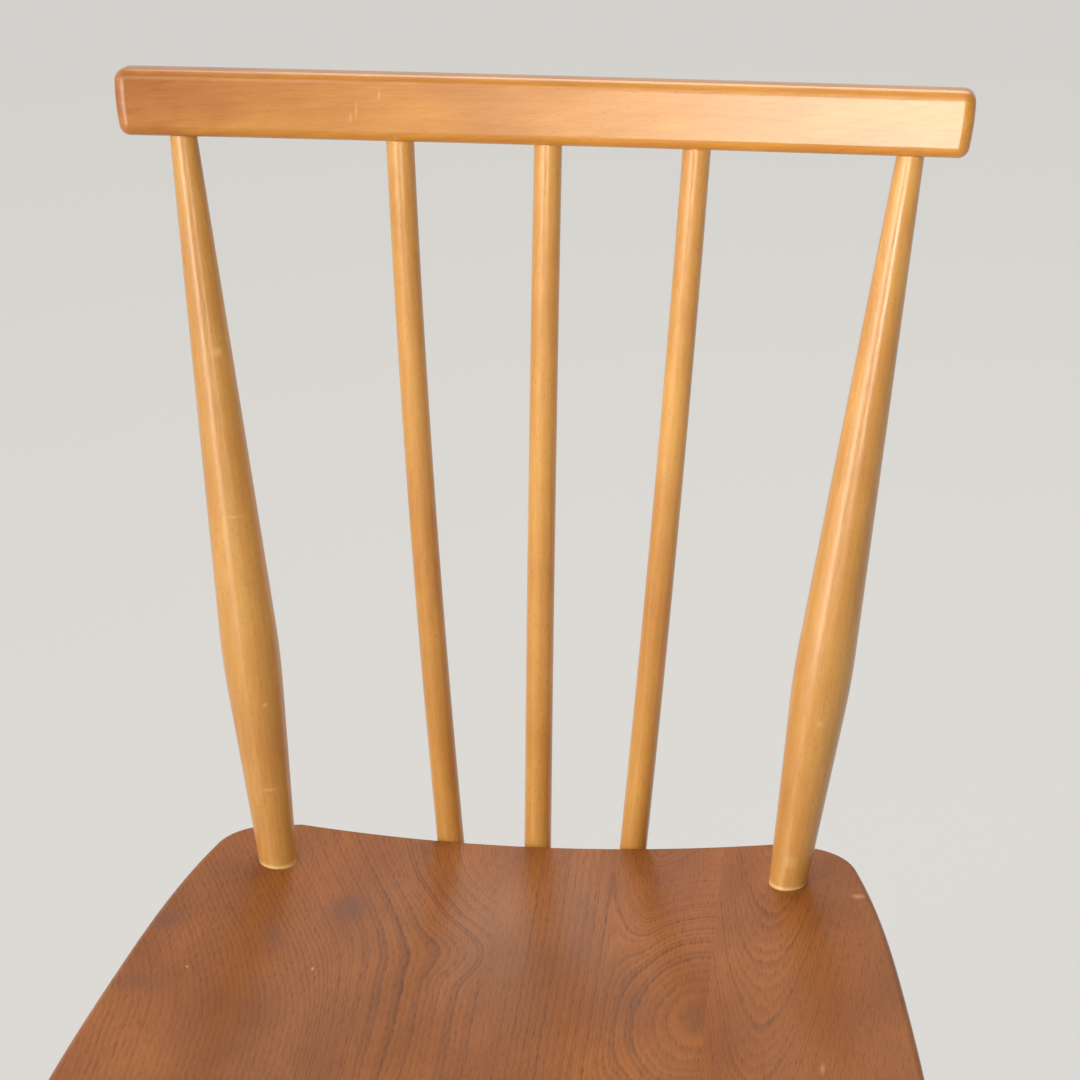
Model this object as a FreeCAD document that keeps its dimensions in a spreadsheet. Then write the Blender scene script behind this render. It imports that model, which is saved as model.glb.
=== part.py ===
import FreeCAD, Part
import Sketcher
import math
import os

from FreeCAD import Placement, Rotation, Vector

# Windsor chair with a stick back, in millimetres.
# The sitter faces -Y, +X is to the right of a person who looks at the chair's front, +Z is up.
# The origin is on the floor, under the middle of the chair's box.
#
# How it goes together: the elm seat is three boards glued edge to edge and hollowed. Four splayed
# legs sit in blind sockets in its underside and are tied by an H of stretchers. Two swelled posts
# go right through the seat and are wedged from below. Three bent spindles stand in the seat's
# sloping rear deck. The crest rail sits on all five, and a pin through each post's tenon holds it.

doc = FreeCAD.newDocument("WindsorChair")
sheet = doc.addObject("Spreadsheet::Sheet", "Sizes")

SIZES = (
    ("seat_height", 422.0, "floor to the seat's top plane, at the posts"),
    ("seat_tilt", 2.0, "degrees that the seat falls towards the back"),
    ("seat_thickness", 32.0, "elm board thickness"),
    ("seat_front", 334.0, "posts' line to the middle of the front edge"),
    ("seat_front_bow", 12.0, "how far the front edge bulges"),
    ("seat_back", 47.0, "posts' line to the middle of the back edge"),
    ("seat_back_bow", 15.5, "how far the back edge bulges"),
    ("half_width_back", 145.0, "half the seat's width at its back corners"),
    ("half_width_posts", 155.0, "half the seat's width at the posts' line"),
    ("half_width_hips", 176.0, "half the seat's width a third of the way forward"),
    ("half_width_thighs", 190.0, "half the seat's width two thirds of the way forward"),
    ("half_width_front", 196.0, "half the seat's width at its front corners"),
    ("back_corner_round", 29.0, "radius of the seat's back corners in plan"),
    ("front_corner_round", 52.0, "radius of the seat's front corners in plan"),
    ("seat_arris", 3.0, "rounding of the seat's top edge"),
    ("bevel_width", 16.0, "bevel under the seat's edge, inwards"),
    ("bevel_rise", 10.0, "bevel under the seat's edge, upwards"),
    ("hollow_depth", 12.0, "depth of the hollow that is sat in"),
    ("hollow_half_width", 150.0, "half the width of the hollow"),
    ("hollow_centre", 150.0, "posts' line to the hollow's deepest point"),
    ("hollow_reach", 235.0, "hollow's deepest point to where it fades out at the back"),
    ("deck_start", 22.5, "posts' line to the middle of the ridge before the rear deck"),
    ("deck_end", 36.0, "posts' line to the ridge's two ends"),
    ("deck_half_width", 118.0, "half the ridge's length"),
    ("deck_fall", 0.65, "rise over run of the rear deck"),
    ("ridge_soften", 1.5, "rounding of the ridge"),
    ("glue_line_left", -14.0, "X of the joint between the left and the centre seat board"),
    ("glue_line_right", 88.0, "X of the joint between the centre and the right seat board"),
    ("post_spacing", 238.6, "between the posts' axes at the seat"),
    ("post_top_spacing", 328.4, "between the posts' axes at the crest rail"),
    ("post_foot_diameter", 17.6, "post where it enters the seat"),
    ("post_swell_diameter", 27.4, "post at its thickest, before its softening"),
    ("post_top_diameter", 12.4, "post at the crest rail"),
    ("post_swell_height", 98.0, "seat to the post's thickest point, along the post"),
    ("post_soften", 14.0, "length each side of the post's swell that is rounded"),
    ("post_tenon", 19.0, "post's length inside the crest rail"),
    ("wedge_thick", 3.2, "wedge's thickness under the seat"),
    ("wedge_tip", 1.0, "wedge's thickness at its tip"),
    ("wedge_depth", 20.0, "how far the wedge is driven up the post"),
    ("spindle_diameter", 12.7, "bent spindle, the same all along"),
    ("spindle_spacing", 43.1, "between spindles at the seat"),
    ("spindle_top_spacing", 67.1, "between spindles at the crest rail"),
    ("spindle_shift", 1.4, "how far the spindles stand to the right of the chair's middle"),
    ("spindle_astray", 1.9, "how far left of its place the centre spindle's hole is in the seat"),
    ("spindle_setback", 35.0, "posts' line back to the spindles, at the seat"),
    ("spindle_seat_tenon", 13.0, "spindle's length inside the seat"),
    ("spindle_crest_tenon", 17.0, "spindle's length inside the crest rail"),
    ("spindle_bow", 5.0, "how far the spindles are bent forward"),
    ("spindle_spread", 1.3, "how far the two outer spindles are bent outward"),
    ("crest_rise", 327.2, "seat plane to the crest rail's underside"),
    ("crest_setback", 86.5, "posts' line back to the middle of the crest rail's underside"),
    ("crest_recline", 14.3, "degrees that the crest rail leans back"),
    ("crest_height", 30.3, "crest rail, bottom to top"),
    ("crest_thickness", 20.4, "crest rail, front to back"),
    ("crest_length", 386.9, "crest rail's length along its top"),
    ("crest_bottom_length", 380.3, "crest rail's length along its bottom"),
    ("crest_end_bow", 1.0, "how far the crest rail's ends bulge"),
    ("crest_sagitta", 4.9, "how far the crest rail's middle is bent back"),
    ("crest_shift", -1.0, "how far the crest rail sits to the right of the chair's middle"),
    ("crest_corner", 5.5, "rounding of the crest rail's corners, seen from the front"),
    ("crest_arris", 4.8, "rounding of the crest rail's long edges"),
    ("pin_diameter", 4.0, "pin through the crest rail and the post's tenon"),
    ("pin_length", 15.0, "pin's length from the crest rail's back face"),
    ("pin_height", 9.0, "crest rail's underside up to the pin"),
    ("front_leg_spacing", 262.0, "between the front legs' axes under the seat"),
    ("front_leg_forward", 274.0, "posts' line forward to the front legs, under the seat"),
    ("front_foot_spacing", 352.0, "between the front feet's centres"),
    ("front_foot_forward", 312.0, "posts' line forward to the front feet"),
    ("rear_leg_spacing", 214.0, "between the rear legs' axes under the seat"),
    ("rear_leg_forward", 50.0, "posts' line forward to the rear legs, under the seat"),
    ("rear_foot_spacing", 322.0, "between the rear feet's centres"),
    ("rear_foot_back", 62.0, "posts' line back to the rear feet"),
    ("leg_top_diameter", 22.0, "leg where it enters the seat"),
    ("leg_swell_diameter", 32.5, "leg at its thickest, before its softening"),
    ("leg_foot_diameter", 19.0, "leg at the floor"),
    ("leg_swell_height", 165.0, "floor to the leg's thickest point, along the leg"),
    ("leg_soften", 30.0, "length each side of the leg's swell that is rounded"),
    ("leg_tenon", 19.0, "leg's length inside the seat"),
    ("foot_arris", 1.5, "rounding of the foot's bottom edge"),
    ("front_stretcher_height", 176.0, "floor to the side stretcher at the front leg"),
    ("rear_stretcher_height", 158.0, "floor to the side stretcher at the rear leg"),
    ("stretcher_end_diameter", 12.7, "stretcher's tenons"),
    ("stretcher_swell_diameter", 21.0, "stretcher at its thickest, before its softening"),
    ("stretcher_soften", 45.0, "length each side of a stretcher's swell that is rounded"),
    ("stretcher_reach", 4.0, "how far a stretcher's tenon passes the axis of what it enters"),
    ("glue_gap", 0.1, "room for glue round every tenon"),
)
for row, (alias, value, meaning) in enumerate(SIZES, start=1):
    sheet.set("A%d" % row, meaning)
    sheet.set("B%d" % row, str(value))
    sheet.setAlias("B%d" % row, alias)
derived_row = len(SIZES) + 2
doc.recompute()


def size(alias):
    """One of the sheet's values, as a plain number."""
    return float(getattr(sheet, alias))


def derive(alias, value, meaning):
    """Adds a length that follows from other sizes, so that features can be bound to it too."""
    global derived_row
    sheet.set("A%d" % derived_row, meaning)
    sheet.set("B%d" % derived_row, str(value))
    sheet.setAlias("B%d" % derived_row, alias)
    derived_row += 1
    sheet.recompute()


# The frames that the pieces are placed in

X_AXIS = Vector(1, 0, 0)
Z_AXIS = Vector(0, 0, 1)
OUTSIDE = 20.0        # how far a cutting tool stands out past what it cuts
SIDE = 400.0          # half the side of a cutting box, past every edge of the chair
CLOSE = 0.01          # what is nearer than this lies on a plane

LEFT_RIGHT = (("left", -1), ("right", 1))

seat_fall = math.radians(size("seat_tilt"))
lean = math.radians(size("crest_recline"))
crest_corner_out = size("crest_height") - size("crest_arris")
half_crest_out = size("crest_thickness") / 2 - size("crest_arris")
# the crest rail's top back edge is the chair's rearmost line, and the seat's front its foremost
rearmost = size("crest_setback") + crest_corner_out * math.sin(lean)
rearmost += half_crest_out * math.cos(lean) + size("crest_arris")
seat_edge = size("seat_thickness") - size("bevel_rise")
foremost = size("seat_front") * math.cos(seat_fall) + seat_edge * math.sin(seat_fall)
posts_line = (foremost - rearmost) / 2

seat_frame = Placement(Vector(0, posts_line, size("seat_height")), Rotation(X_AXIS, -size("seat_tilt")))
crest_middle = Vector(size("crest_shift"), posts_line + size("crest_setback"),
                      size("seat_height") + size("crest_rise"))
crest_frame = Placement(crest_middle, Rotation(X_AXIS, -size("crest_recline")))


def on_seat(across, back, up=0.0):
    """A point of the chair, given from the posts' line on the seat's top plane."""
    return seat_frame.multVec(Vector(across, back, up))


def on_crest(across, back=0.0, up=0.0):
    """A point of the chair, given from the middle of the crest rail's underside."""
    return crest_frame.multVec(Vector(across, back, up))


def crest_curve(across):
    """The crest rail's centre line: how far forward of its middle it lies at a place along it."""
    return -size("crest_sagitta") * (2 * across / size("crest_length")) ** 2


def post_on_crest(side):
    """How far along the crest rail, from its own middle, a post meets it."""
    return side * size("post_top_spacing") / 2 - size("crest_shift")


def along(start, end):
    """A placement at start whose Z axis points to end."""
    return Placement(start, Rotation(Z_AXIS, end - start))


# Helpers that make one kind of feature each

def origin_plane(body, role):
    """One of a body's own three planes."""
    return next(item for item in body.Origin.OriginFeatures if item.Role == role)


def number(expression):
    """The present value of an expression on the sheet."""
    value = sheet.evalExpression(expression)
    return float(getattr(value, "Value", value))


def closed_sketch(body, name, role, corners, arc_from=None):
    """A closed outline through corners, in order, of lines and at most one arc.

    A corner is two expressions, or 0 where it lies on an axis. The arc runs from the corner
    numbered arc_from to the next one, and carries on from the line before it without a kink."""
    sketch = body.newObject("Sketcher::SketchObject", name)
    sketch.AttachmentSupport = (origin_plane(body, role), [""])
    sketch.MapMode = "FlatFace"
    points = [Vector(number(str(u)), number(str(v)), 0) for u, v in corners]
    count = len(points)
    for index in range(count):
        start, end = points[index], points[(index + 1) % count]
        if index == arc_from:
            way = (start - points[index - 1]).normalize()
            outward = Vector(way.y, -way.x, 0)
            bulge = (end - start).dot(outward) / -4
            sketch.addGeometry(Part.Arc(start, (start + end) / 2 + outward * bulge, end), False)
        else:
            sketch.addGeometry(Part.LineSegment(start, end), False)
    for index in range(count):
        after = (index + 1) % count
        join = "Tangent" if after == arc_from else "Coincident"
        sketch.addConstraint(Sketcher.Constraint(join, index, 2, after, 1))
    for index, (u, v) in enumerate(corners):
        if u == 0 and v == 0:
            sketch.addConstraint(Sketcher.Constraint("Coincident", index, 1, -1, 1))
            continue
        for kind, place, expression, axis in (("DistanceX", points[index].x, u, -2),
                                              ("DistanceY", points[index].y, v, -1)):
            if expression == 0:
                sketch.addConstraint(Sketcher.Constraint("PointOnObject", index, 1, axis))
            else:
                at = sketch.addConstraint(Sketcher.Constraint(kind, -1, 1, index, 1, place))
                sketch.setExpression("Constraints[%d]" % at, expression)
    return sketch


def turned(name, stations, swell, soften):
    """A turned stick along its own Z axis: half its outline, revolved about that axis.

    A station is a height and a radius, as expressions, from the bottom up. The two tapers beside
    the station numbered swell are joined by an arc, which starts and ends soften away from it."""
    height_below, radius_below = stations[swell - 1]
    height, radius = stations[swell]
    height_above, radius_above = stations[swell + 1]
    taper = "%s - %s * (%s - %s) / (%s)"
    low = ("%s - %s" % (height, soften),
           taper % (radius, soften, radius, radius_below, "%s - (%s)" % (height, height_below)))
    high = ("%s + %s" % (height, soften),
            taper % (radius, soften, radius, radius_above, "%s - (%s)" % (height_above, height)))
    stations = stations[:swell] + (low, high) + stations[swell + 1:]
    body = doc.addObject("PartDesign::Body", name)
    corners = [(0, 0), (stations[0][1], 0)]
    corners += [(out, up) for up, out in stations[1:]] + [(0, stations[-1][0])]
    sketch = closed_sketch(body, name + "_outline", "XZ_Plane", corners, arc_from=swell + 1)
    turning = body.newObject("PartDesign::Revolution", name + "_turning")
    turning.Profile = sketch
    turning.ReferenceAxis = (sketch, ["V_Axis"])
    turning.Angle = 360
    body.Tip = turning
    doc.recompute()
    return body


def drill(name, radius, start, end):
    """A round hole's tool, from start to end, with room for glue round it."""
    tool = doc.addObject("Part::Cylinder", name)
    tool.setExpression("Radius", radius + " + Sizes.glue_gap")
    tool.Height = (end - start).Length
    tool.Placement = along(start, end)
    return tool


def slab(name, frame, low, high):
    """A box between two corners of a frame, for cutting a piece off flush."""
    tool = doc.addObject("Part::Box", name)
    tool.Length = high.x - low.x
    tool.Width = high.y - low.y
    tool.Height = high.z - low.z
    tool.Placement = frame.multiply(Placement(low, Rotation()))
    return tool


def cut(label, base, tools):
    """What is left of base once every tool is taken from it."""
    if len(tools) > 1:
        joined = doc.addObject("Part::Compound", label + "_tools")
        joined.Links = tools
        tools = [joined]
    result = doc.addObject("Part::Cut", label)
    result.Base = base
    result.Tool = tools[0]
    doc.recompute()
    return result


def common(label, first, second):
    """What two shapes share."""
    result = doc.addObject("Part::Common", label)
    result.Base = first
    result.Tool = second
    doc.recompute()
    return result


def edges_where(shape, test):
    """The numbers of the edges that pass a test."""
    return [index for index, edge in enumerate(shape.Edges, start=1) if test(edge)]


def ends_apart(edge):
    """The straight way from an edge's one end to its other."""
    if len(edge.Vertexes) < 2:
        return Vector()
    return edge.Vertexes[1].Point - edge.Vertexes[0].Point


def evenly(edges, radius):
    """Picks that round several edges alike."""
    return [(index, radius, radius) for index in edges]


def rounded(label, base, picks, kind="Part::Fillet"):
    """Fillets or bevels edges of base. A pick is an edge's number and its two sizes."""
    feature = doc.addObject(kind, label)
    feature.Base = base
    feature.Edges = picks
    doc.recompute()
    return feature


pieces = {}


def keep(node, piece):
    """Names a finished piece and puts it on the list of what is written."""
    piece.Label = node
    pieces[node] = piece


# Back posts: their axes, then the turned sticks

def post_axis(side):
    """The foot on the seat's plane and the top at the crest rail's underside."""
    across = post_on_crest(side)
    return on_seat(side * size("post_spacing") / 2, 0), on_crest(across, crest_curve(across))


foot, top = post_axis(1)
derive("post_rise", (top - foot).Length, "post's length between the seat's plane and the crest rail")
post_lean = math.acos((top - foot).normalize().dot(seat_frame.Rotation.multVec(Z_AXIS)))
through = size("seat_thickness") / math.cos(post_lean)
trim = size("post_foot_diameter") * math.tan(post_lean)
derive("post_below", through + trim, "post's length under the seat's plane, before it is cut flush")


def under_seat(name):
    """A box that holds everything under the seat's lower face."""
    below = -size("seat_thickness")
    return slab(name, seat_frame, Vector(-SIDE, -SIDE, below - SIDE), Vector(SIDE, SIDE, below))


for word, side in LEFT_RIGHT:
    foot, top = post_axis(side)
    frame = along(foot, top)
    frame.Base = frame.multVec(Vector(0, 0, -size("post_below")))
    stick = turned("post_stick_" + word, (
        ("0", "Sizes.post_foot_diameter / 2"),
        ("Sizes.post_below", "Sizes.post_foot_diameter / 2"),
        ("Sizes.post_below + Sizes.post_swell_height", "Sizes.post_swell_diameter / 2"),
        ("Sizes.post_below + Sizes.post_rise", "Sizes.post_top_diameter / 2"),
        ("Sizes.post_below + Sizes.post_rise + Sizes.post_tenon", "Sizes.post_top_diameter / 2")),
        2, "Sizes.post_soften")
    stick.Placement = frame

    # the wedge is driven from below, across the seat's grain
    flush = size("post_below") - through
    wedge_block = doc.addObject("PartDesign::Body", "wedge_block_" + word)
    half_tip = "Sizes.wedge_tip / 2"
    half_end = "Sizes.wedge_thick / 2"
    outline = closed_sketch(wedge_block, "wedge_outline_" + word, "YZ_Plane", (
        (half_end, 0), (half_tip, "Sizes.wedge_depth"), ("-" + half_tip, "Sizes.wedge_depth"),
        ("-" + half_end, 0)))
    wedge_pad = wedge_block.newObject("PartDesign::Pad", "wedge_pad_" + word)
    wedge_pad.Profile = outline
    wedge_pad.setExpression("Length", "2 * Sizes.post_foot_diameter")
    wedge_pad.Midplane = True
    wedge_block.Tip = wedge_pad
    wedge_block.Placement = Placement(frame.multVec(Vector(0, 0, flush - trim / 2)), frame.Rotation)
    bore = doc.addObject("Part::Cylinder", "wedge_bore_" + word)
    bore.setExpression("Radius", "Sizes.post_foot_diameter / 2")
    bore.setExpression("Height", "Sizes.post_below")
    bore.Placement = frame
    trimmed = common("wedge_round_" + word, wedge_block, bore)
    keep("post_wedge_" + word, cut("wedge_cut_" + word, trimmed, [under_seat("wedge_trim_" + word)]))

    # the pin comes from the crest rail's back, level with the rail's thickness
    across = post_on_crest(side)
    back_face = crest_curve(across) + size("crest_thickness") / 2
    out = on_crest(across, back_face, size("pin_height"))
    deep = on_crest(across, back_face - size("pin_length"), size("pin_height"))
    pin = doc.addObject("Part::Cylinder", "pin_stick_" + word)
    pin.setExpression("Radius", "Sizes.pin_diameter / 2")
    pin.setExpression("Height", "Sizes.pin_length")
    pin.Placement = along(deep, out)
    keep("crest_pin_" + word, pin)

    pin_hole = drill("pin_hole_" + word, "Sizes.pin_diameter / 2", deep, out + (out - deep))
    keep("back_post_" + word, cut("post_cut_" + word, stick,
                                  [under_seat("post_trim_" + word), wedge_block, pin_hole]))


# Spindles: an arc in the plane of its bend, with the round section carried along it

def spindle_axis(place):
    """The foot on the deck and the top at the crest rail's underside; place is -1, 0 or 1."""
    at_seat = size("spindle_shift") + place * size("spindle_spacing")
    if place == 0:
        at_seat -= size("spindle_astray")
    run = size("spindle_setback") - size("deck_start")
    at_crest = size("spindle_shift") + place * size("spindle_top_spacing") - size("crest_shift")
    foot = on_seat(at_seat, size("spindle_setback"), -run * size("deck_fall"))
    return foot, on_crest(at_crest, crest_curve(at_crest))


SPINDLES = (("left", -1), ("centre", 0), ("right", 1))
spindle_tools = {}
for word, place in SPINDLES:
    foot, top = spindle_axis(place)
    chord = (top - foot).normalize()
    bend = Vector(place * size("spindle_spread"), -size("spindle_bow"), 0)
    bend = bend - chord * bend.dot(chord)
    sagitta = bend.Length
    half_chord = (top - foot).Length / 2
    radius = (half_chord ** 2 + sagitta ** 2) / (2 * sagitta)
    outward = bend.normalize()
    # the same arc runs on into the seat and into the crest rail
    centre = foot + chord * half_chord - outward * (radius - sagitta)

    def on_arc(distance):
        """A point of the spindle's centre line, by its length from the middle."""
        angle = distance / radius
        return centre + outward * (radius * math.cos(angle)) + chord * (radius * math.sin(angle))

    sweep = math.asin(half_chord / radius) * radius
    low = -sweep - size("spindle_seat_tenon")
    high = sweep + size("spindle_crest_tenon")
    path = doc.addObject("Part::Feature", "spindle_path_" + word)
    path.Shape = Part.Wire([Part.Arc(on_arc(low), on_arc(0), on_arc(high)).toShape()])
    section = doc.addObject("Part::Circle", "spindle_section_" + word)
    section.setExpression("Radius", "Sizes.spindle_diameter / 2")
    # the section lies square to the arc's first end, a quarter turn on from its radius there
    section.Placement = along(on_arc(low), on_arc(low) + on_arc(low + math.pi / 2 * radius) - centre)
    spindle = doc.addObject("Part::Sweep", "spindle_" + word)
    spindle.Sections = [section]
    spindle.Spine = (path, ["Edge1"])
    spindle.Solid = True
    doc.recompute()
    keep("spindle_" + word, spindle)
    hole = "Sizes.spindle_diameter / 2"
    gap = size("glue_gap")
    in_seat = drill("seat_hole_" + word, hole, on_arc(low - gap), on_arc(-sweep + OUTSIDE))
    in_crest = drill("crest_hole_" + word, hole, on_arc(high + gap), on_arc(sweep - OUTSIDE))
    spindle_tools[word] = (in_seat, in_crest)


# Crest rail: a curved band, cut to its outline, rounded and drilled

half_length = size("crest_length") / 2
half_thick = size("crest_thickness") / 2


def crest_edge(offset):
    """An arc along the rail, parallel to its centre line."""
    ends = Vector(half_length + OUTSIDE, crest_curve(half_length + OUTSIDE) + offset, 0)
    return Part.Arc(Vector(-ends.x, ends.y, 0), Vector(0, offset, 0), ends).toShape()


front_arc, back_arc = crest_edge(-half_thick), crest_edge(half_thick)
band_wire = Part.Wire([
    front_arc,
    Part.makeLine(front_arc.Vertexes[-1].Point, back_arc.Vertexes[-1].Point),
    back_arc,
    Part.makeLine(back_arc.Vertexes[0].Point, front_arc.Vertexes[0].Point)])
band_plan = doc.addObject("Part::Feature", "crest_plan")
band_plan.Shape = Part.Face(band_wire)
band = doc.addObject("Part::Extrusion", "crest_band")
band.Base = band_plan
band.DirMode = "Custom"
band.Dir = Z_AXIS
band.setExpression("LengthFwd", "Sizes.crest_height")
band.Solid = True

bottom_x = size("crest_bottom_length") / 2
height = size("crest_height")
end_mid = (half_length + bottom_x) / 2 + size("crest_end_bow")
right_end = Part.Arc(Vector(bottom_x, 0, 0), Vector(end_mid, 0, height / 2),
                     Vector(half_length, 0, height))
left_end = Part.Arc(Vector(-half_length, 0, height), Vector(-end_mid, 0, height / 2),
                    Vector(-bottom_x, 0, 0))
outline_wire = Part.Wire([
    Part.makeLine(Vector(-bottom_x, 0, 0), Vector(bottom_x, 0, 0)),
    right_end.toShape(),
    Part.makeLine(Vector(half_length, 0, height), Vector(-half_length, 0, height)),
    left_end.toShape()])
elevation = doc.addObject("Part::Feature", "crest_elevation")
elevation.Shape = Part.Face(outline_wire)
crest_block = doc.addObject("Part::Extrusion", "crest_block")
crest_block.Base = elevation
crest_block.DirMode = "Custom"
crest_block.Dir = Vector(0, 1, 0)
crest_block.setExpression("LengthFwd", "2 * Sizes.crest_thickness")
crest_block.setExpression("LengthRev", "2 * Sizes.crest_thickness")
crest_block.Solid = True
doc.recompute()


corner_edges = edges_where(crest_block.Shape, lambda edge: abs(ends_apart(edge).y) > half_thick)
cornered = rounded("crest_cornered", crest_block, evenly(corner_edges, size("crest_corner")))
rail_raw = common("crest_raw", band, cornered)
long_edges = edges_where(rail_raw.Shape, lambda edge: abs(ends_apart(edge).y) < half_thick)
rail = rounded("crest_rounded", rail_raw, evenly(long_edges, size("crest_arris")))
rail.Placement = crest_frame

rail_tools = [tools[1] for tools in spindle_tools.values()]
for word, side in LEFT_RIGHT:
    foot, top = post_axis(side)
    way = (top - foot).normalize()
    deep = top + way * (size("post_tenon") + size("glue_gap"))
    rail_tools.append(drill("crest_post_hole_" + word, "Sizes.post_top_diameter / 2", deep,
                            top - way * OUTSIDE))
    rail_tools.append(doc.getObject("pin_hole_" + word))
keep("crest_rail", cut("crest_cut", rail, rail_tools))


# Legs and stretchers

def leg_axis(word, side):
    """The foot's centre on the floor and the leg's centre on the seat's lower face."""
    foot_across = side * size(word + "_foot_spacing") / 2
    leg_across = side * size(word + "_leg_spacing") / 2
    if word == "front":
        foot_along = -size("front_foot_forward")
    else:
        foot_along = size("rear_foot_back")
    head = on_seat(leg_across, -size(word + "_leg_forward"), -size("seat_thickness"))
    return Vector(foot_across, posts_line + foot_along, 0), head


def leg_point(word, side, level):
    """A point of a leg's axis at a height above the floor."""
    foot, head = leg_axis(word, side)
    return foot + (head - foot) * (level / head.z)


FLOOR = Placement()
legs = {}
for word in ("front", "rear"):
    foot, head = leg_axis(word, 1)
    derive(word + "_leg_rise", (head - foot).Length, word + " leg, from the floor to the seat")
    splay = math.acos((head - foot).normalize().z)
    derive(word + "_leg_spare", size("leg_foot_diameter") * math.tan(splay), "length cut off at the floor")
    spare = "Sizes.%s_leg_spare" % word
    rise = "Sizes.%s_leg_rise" % word
    for hand, side in LEFT_RIGHT:
        foot, head = leg_axis(word, side)
        frame = along(foot, head)
        frame.Base = frame.multVec(Vector(0, 0, -size(word + "_leg_spare")))
        stick = turned("%s_leg_stick_%s" % (word, hand), (
            ("0", "Sizes.leg_foot_diameter / 2"),
            (spare + " + Sizes.leg_swell_height", "Sizes.leg_swell_diameter / 2"),
            (spare + " + " + rise, "Sizes.leg_top_diameter / 2"),
            (spare + " + " + rise + " + Sizes.leg_tenon", "Sizes.leg_top_diameter / 2")),
            1, "Sizes.leg_soften")
        stick.Placement = frame
        legs[word, hand] = stick

leg_tools = {key: [] for key in legs}
side_axis = {}


def stretcher(node, start, end, wall):
    """A swelled stretcher between two axes; the wall is the radius of what its ends enter."""
    way = (end - start).normalize()
    reach = size("stretcher_reach")
    derive(node + "_length", (end - start).Length + 2 * reach, node + ", tenons included")
    derive(node + "_tenon", reach + wall, node + "'s tenon, out to where its taper starts")
    length = "Sizes.%s_length" % node
    tenon = "Sizes.%s_tenon" % node
    thin = "Sizes.stretcher_end_diameter / 2"
    stick = turned(node + "_stick", (
        ("0", thin),
        (tenon, thin),
        (length + " / 2", "Sizes.stretcher_swell_diameter / 2"),
        (length + " - " + tenon, thin),
        (length, thin)), 2, "Sizes.stretcher_soften")
    stick.Placement = along(start - way * reach, end + way * reach)
    gap = way * (reach + size("glue_gap"))
    past = way * (wall + OUTSIDE)
    hole_start = drill(node + "_hole_start", thin, start - gap, start + past)
    hole_end = drill(node + "_hole_end", thin, end + gap, end - past)
    return stick, hole_start, hole_end


side_sticks = {}
for hand, side in LEFT_RIGHT:
    front = leg_point("front", side, size("front_stretcher_height"))
    rear = leg_point("rear", side, size("rear_stretcher_height"))
    leg_wall = size("leg_swell_diameter") / 2
    stick, at_front, at_rear = stretcher("side_stretcher_" + hand, front, rear, leg_wall)
    leg_tools["front", hand].append(at_front)
    leg_tools["rear", hand].append(at_rear)
    side_sticks[hand] = stick
    side_axis[hand] = (front + rear) / 2

side_wall = size("stretcher_swell_diameter") / 2
cross, at_left, at_right = stretcher("cross_stretcher", side_axis["left"], side_axis["right"], side_wall)
keep("cross_stretcher", cross)
for hand, hole in (("left", at_left), ("right", at_right)):
    keep("side_stretcher_" + hand, cut("side_cut_" + hand, side_sticks[hand], [hole]))

for (word, hand), stick in legs.items():
    name = "%s_leg_%s" % (word, hand)
    floor = slab(name + "_floor", FLOOR, Vector(-SIDE, -SIDE, -SIDE), Vector(SIDE, SIDE, 0))
    flat = cut(name + "_flat", stick, [floor])
    rim = edges_where(flat.Shape, lambda edge: edge.BoundBox.ZMax < CLOSE)
    shod = rounded(name + "_shod", flat, evenly(rim, size("foot_arris")))
    keep(name, cut(name + "_cut", shod, leg_tools[word, hand]))


# Seat: an outline, hollowed by a smooth surface, with a deck for the spindles behind a ridge

def seat_side(side):
    """One side edge in plan, through the named half widths, evenly spaced from back to front."""
    widths = [size("half_width_" + word) for word in ("back", "posts", "hips", "thighs", "front")]
    back = size("seat_back") - size("seat_back_bow")
    front = -(size("seat_front") - size("seat_front_bow"))
    places = (back, 0.0, front / 3, 2 * front / 3, front)
    curve = Part.BSplineCurve()
    curve.interpolate([Vector(side * width, place, 0) for width, place in zip(widths, places)])
    return curve.toShape()


left_side, right_side = seat_side(-1), seat_side(1)


def seat_end(middle):
    """The back or front edge in plan: an arc between the two sides' ends."""
    side_end = 0 if middle > 0 else -1
    ends = [edge.Vertexes[side_end].Point for edge in (left_side, right_side)]
    return Part.Arc(ends[0], Vector(0, middle, 0), ends[1]).toShape()


plan_edges = [seat_end(size("seat_back")), left_side, seat_end(-size("seat_front")), right_side]
plan = doc.addObject("Part::Feature", "seat_plan")
plan.Shape = Part.Face(Part.Wire(Part.__sortEdges__(plan_edges)))
plank = doc.addObject("Part::Extrusion", "seat_plank")
plank.Base = plan
plank.DirMode = "Custom"
plank.Dir = Z_AXIS
plank.setExpression("LengthFwd", "Sizes.hollow_depth")
plank.setExpression("LengthRev", "Sizes.seat_thickness")
plank.Solid = True
doc.recompute()
upright = edges_where(plank.Shape, lambda edge: abs(ends_apart(edge).z) > size("seat_thickness"))
picks = []
for index in upright:
    at_back = plank.Shape.Edges[index - 1].CenterOfMass.y > 0
    picks += evenly([index], size("back_corner_round" if at_back else "front_corner_round"))
corners_cut = rounded("seat_corners", plank, picks)


def hollow(across, back):
    """Depth of the hollow: the product of two smooth bells, one across and one along the seat.

    A bell is (1 - u squared) squared, where u runs from 0 in the middle to 1 at the rim."""
    ahead = size("seat_front") - size("hollow_centre") + OUTSIDE
    behind = size("hollow_reach")
    along_seat = back + size("hollow_centre")
    u = across / size("hollow_half_width")
    w = along_seat / (behind if along_seat > 0 else ahead)
    bells = max(0.0, 1 - u * u) * max(0.0, 1 - w * w)
    return size("hollow_depth") * bells ** 2


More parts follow.
